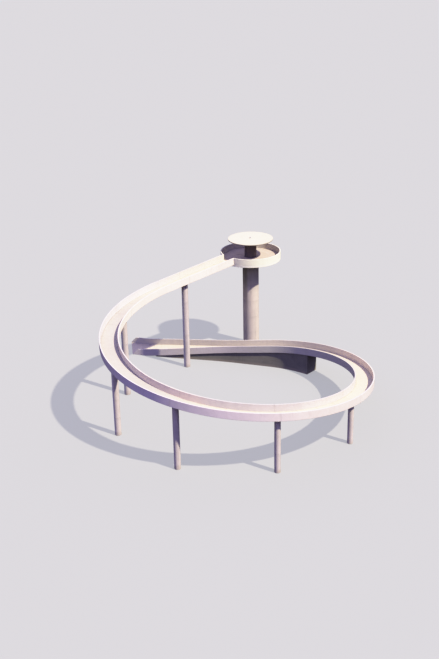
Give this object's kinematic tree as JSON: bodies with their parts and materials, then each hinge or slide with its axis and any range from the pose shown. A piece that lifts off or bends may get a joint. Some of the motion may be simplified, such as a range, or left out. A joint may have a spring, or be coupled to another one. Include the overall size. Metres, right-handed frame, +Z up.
{
  "type": "half-scale model of a concrete observation tower with a looping ramp",
  "caption": "Round viewing platform under a flat disc canopy on one thick column, reached by a sloping walled ramp that loops on round columns from a solid foot; half-scale model.",
  "frame": {"origin": "centre of the main column's foot, on the ground", "axes": "+Z up; the middle of the ramp's loop lies towards -Y, and the ramp's foot is on the -X side"},
  "size_m": [17.4732, 21.7147, 8.308],
  "materials": {
    "column_concrete": "cast concrete, pale, with faint form marks and weathering",
    "parapet_concrete": "cast concrete, off-white, streaked below the rim",
    "floor_concrete": "brushed concrete floor, worn along the middle",
    "canopy_concrete": "smooth cast concrete, cream",
    "abutment_concrete": "dark, damp-stained cast concrete",
    "vent_metal": "dull dark paint"
  },
  "bodies": {
    "root": {"main_column": "column_concrete", "platform_floor": "floor_concrete", "platform_parapet_east": "parapet_concrete", "platform_parapet_west": "parapet_concrete", "canopy_column": "column_concrete", "canopy_disc": "canopy_concrete", "canopy_vent": "vent_metal", "ramp_column_1": "column_concrete", "ramp_column_2": "column_concrete", "ramp_column_3": "column_concrete", "ramp_column_4": "column_concrete", "ramp_column_5": "column_concrete", "ramp_column_6": "column_concrete", "ramp_column_7": "column_concrete", "abutment": "abutment_concrete", "ramp_floor_0": "floor_concrete", "ramp_floor_1": "floor_concrete", "ramp_floor_2": "floor_concrete", "ramp_floor_3": "floor_concrete", "ramp_floor_4": "floor_concrete", "ramp_floor_5": "floor_concrete", "ramp_floor_6": "floor_concrete", "ramp_floor_7": "floor_concrete", "ramp_floor_8": "floor_concrete", "outer_parapet_0": "parapet_concrete", "outer_parapet_1": "parapet_concrete", "outer_parapet_2": "parapet_concrete", "outer_parapet_3": "parapet_concrete", "outer_parapet_4": "parapet_concrete", "outer_parapet_5": "parapet_concrete", "outer_parapet_6": "parapet_concrete", "outer_parapet_7": "parapet_concrete", "outer_parapet_8": "parapet_concrete", "inner_parapet_0": "parapet_concrete", "inner_parapet_1": "parapet_concrete", "inner_parapet_2": "parapet_concrete", "inner_parapet_3": "parapet_concrete", "inner_parapet_4": "parapet_concrete", "inner_parapet_5": "parapet_concrete", "inner_parapet_6": "parapet_concrete", "inner_parapet_7": "parapet_concrete", "inner_parapet_8": "parapet_concrete", "approach_floor": "floor_concrete", "approach_wall_far": "parapet_concrete", "approach_wall_near": "parapet_concrete"}
  },
  "joints": []
}
